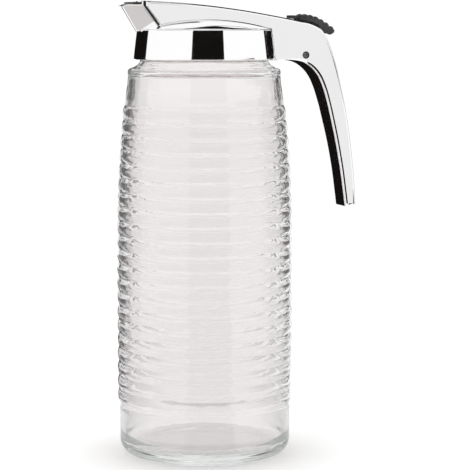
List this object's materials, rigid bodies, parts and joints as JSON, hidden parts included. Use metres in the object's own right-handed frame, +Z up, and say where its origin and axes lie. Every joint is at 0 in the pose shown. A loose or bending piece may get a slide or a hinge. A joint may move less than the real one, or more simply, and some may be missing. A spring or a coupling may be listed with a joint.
{
  "type": "glass jug",
  "caption": "Ribbed clear glass jug with a chromed screw-on pouring head: bar handle, thumb lever and a spout whose shutter slides back.",
  "frame": {"origin": "centre of the flat underside, on the glass jug's own axis", "axes": "+Z up; -X towards the spout and +X towards the handle; Y = 0 is the plane that the two sides mirror across"},
  "size_m": [0.1393, 0.1, 0.259],
  "materials": {
    "glass": "clear polished glass with a faint grey-green edge",
    "chrome": "mirror-bright chrome plating",
    "black_plastic": "satin black moulded plastic",
    "dark_steel": "dark polished pin end"
  },
  "bodies": {
    "jug": {"glass_jug": "glass", "screw_collar": "chrome", "pouring_lid": "chrome", "bar_handle": "chrome", "seam_seal": "black_plastic", "pivot_pin": "dark_steel"},
    "lever": {"thumb_lever": "black_plastic"},
    "shutter": {"spout_shutter": "black_plastic"}
  },
  "joints": [
    {"name": "lever_pull", "type": "hinge", "parent": "jug", "child": "lever", "pos_m": [0.0577, 0, 0.2286], "axis": [0, 1, 0], "range_deg": [0, 24], "stiffness_Nm_per_rad": 0.12, "springref_deg": -8.59},
    {"name": "shutter_slide", "type": "slide", "parent": "jug", "child": "shutter", "axis": [1, 0, 0], "range_m": [0, 0.0071]}
  ],
  "couplings": [
    {"joint": "shutter_slide", "follows": "lever_pull", "m_per_rad": 0.0169}
  ]
}
